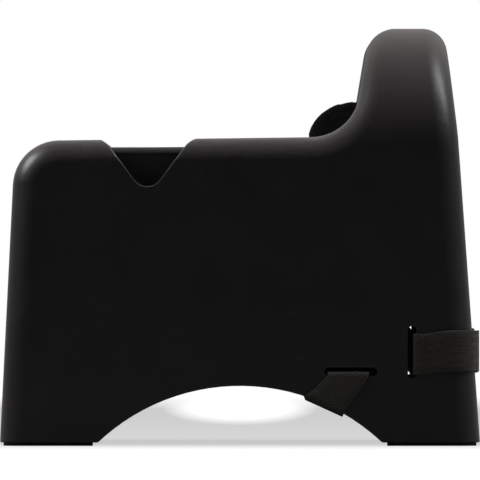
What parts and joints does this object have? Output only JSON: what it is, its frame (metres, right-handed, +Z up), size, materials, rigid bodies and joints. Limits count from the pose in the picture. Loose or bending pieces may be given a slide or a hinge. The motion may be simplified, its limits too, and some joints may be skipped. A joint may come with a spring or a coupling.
{
  "type": "child booster seat",
  "caption": "One-piece moulded booster seat for a dining chair, with arm grips, arched foot, waist belt and two buckled straps that hold it to the chair.",
  "frame": {"origin": "centre of the overall box, on the floor plane under the foot pads", "axes": "+Z up; +X towards the backrest, so the seat's front faces -X; +Y to the seated child's right"},
  "size_m": [0.349, 0.3562, 0.3042],
  "materials": {
    "shell_plastic": "fine moulded texture, satin black",
    "foot_rubber": "matte",
    "strap_webbing": "woven charcoal polypropylene webbing",
    "belt_webbing": "woven black nylon webbing",
    "buckle_plastic": "semi-gloss black acetal",
    "release_tab_plastic": "semi-gloss black acetal, ribbed grip"
  },
  "bodies": {
    "shell": {"seat_shell": "shell_plastic", "front_right_foot_pad": "foot_rubber", "front_left_foot_pad": "foot_rubber", "rear_right_foot_pad": "foot_rubber", "rear_left_foot_pad": "foot_rubber", "waist_buckle_socket": "buckle_plastic", "waist_webbing": "belt_webbing", "chair_back_buckle_socket": "buckle_plastic", "chair_back_webbing": "strap_webbing", "under_seat_buckle_socket": "buckle_plastic", "under_seat_webbing": "strap_webbing"},
    "waist_plug": {"waist_buckle_plug": "buckle_plastic"},
    "waist_first_arm": {"waist_first_release_arm": "release_tab_plastic"},
    "waist_second_arm": {"waist_second_release_arm": "release_tab_plastic"},
    "waist_keeper": {"waist_tail_keeper": "buckle_plastic"},
    "chair_back_plug": {"chair_back_buckle_plug": "buckle_plastic"},
    "chair_back_first_arm": {"chair_back_first_release_arm": "release_tab_plastic"},
    "chair_back_second_arm": {"chair_back_second_release_arm": "release_tab_plastic"},
    "chair_back_keeper": {"chair_back_tail_keeper": "buckle_plastic"},
    "under_seat_plug": {"under_seat_buckle_plug": "buckle_plastic"},
    "under_seat_first_arm": {"under_seat_first_release_arm": "release_tab_plastic"},
    "under_seat_second_arm": {"under_seat_second_release_arm": "release_tab_plastic"},
    "under_seat_keeper": {"under_seat_tail_keeper": "buckle_plastic"}
  },
  "joints": [
    {"name": "waist_plug_slide", "type": "slide", "parent": "shell", "child": "waist_plug", "axis": [0, 1, 0], "range_m": [0, 0.025], "deforming": ["waist_webbing"]},
    {"name": "waist_first_squeeze", "type": "hinge", "parent": "waist_plug", "child": "waist_first_arm", "pos_m": [0.053, 0.004, 0.11735], "axis": [0, 0, 1], "range_deg": [-8, 0], "stiffness_Nm_per_rad": 0.25},
    {"name": "waist_second_squeeze", "type": "hinge", "parent": "waist_plug", "child": "waist_second_arm", "pos_m": [0.031, 0.004, 0.11735], "axis": [0, 0, 1], "range_deg": [0, 8], "stiffness_Nm_per_rad": 0.25},
    {"name": "waist_keeper_slide", "type": "slide", "parent": "waist_plug", "child": "waist_keeper", "axis": [0, 1, 0], "range_m": [-0.008, 0.004]},
    {"name": "chair_back_plug_slide", "type": "slide", "parent": "shell", "child": "chair_back_plug", "axis": [0, 1, 0], "range_m": [0, 0.025], "deforming": ["chair_back_webbing"]},
    {"name": "chair_back_first_squeeze", "type": "hinge", "parent": "chair_back_plug", "child": "chair_back_first_arm", "pos_m": [0.1638, 0.004, 0.0566], "axis": [1, 0, 0], "range_deg": [-8, 0], "stiffness_Nm_per_rad": 0.25},
    {"name": "chair_back_second_squeeze", "type": "hinge", "parent": "chair_back_plug", "child": "chair_back_second_arm", "pos_m": [0.1638, 0.004, 0.0786], "axis": [1, 0, 0], "range_deg": [0, 8], "stiffness_Nm_per_rad": 0.25},
    {"name": "chair_back_keeper_slide", "type": "slide", "parent": "chair_back_plug", "child": "chair_back_keeper", "axis": [0, 1, 0], "range_m": [-0.008, 0.004]},
    {"name": "under_seat_plug_slide", "type": "slide", "parent": "shell", "child": "under_seat_plug", "axis": [0, 1, 0], "range_m": [0, 0.025], "deforming": ["under_seat_webbing"]},
    {"name": "under_seat_first_squeeze", "type": "hinge", "parent": "under_seat_plug", "child": "under_seat_first_arm", "pos_m": [0.0895, 0.004, 0.0532], "axis": [0, 0, 1], "range_deg": [-8, 0], "stiffness_Nm_per_rad": 0.25},
    {"name": "under_seat_second_squeeze", "type": "hinge", "parent": "under_seat_plug", "child": "under_seat_second_arm", "pos_m": [0.0675, 0.004, 0.0532], "axis": [0, 0, 1], "range_deg": [0, 8], "stiffness_Nm_per_rad": 0.25},
    {"name": "under_seat_keeper_slide", "type": "slide", "parent": "under_seat_plug", "child": "under_seat_keeper", "axis": [0, 1, 0], "range_m": [-0.008, 0.004]}
  ],
  "couplings": [
    {"joint": "waist_second_squeeze", "follows": "waist_first_squeeze", "ratio": -1},
    {"joint": "chair_back_second_squeeze", "follows": "chair_back_first_squeeze", "ratio": -1},
    {"joint": "under_seat_second_squeeze", "follows": "under_seat_first_squeeze", "ratio": -1}
  ]
}
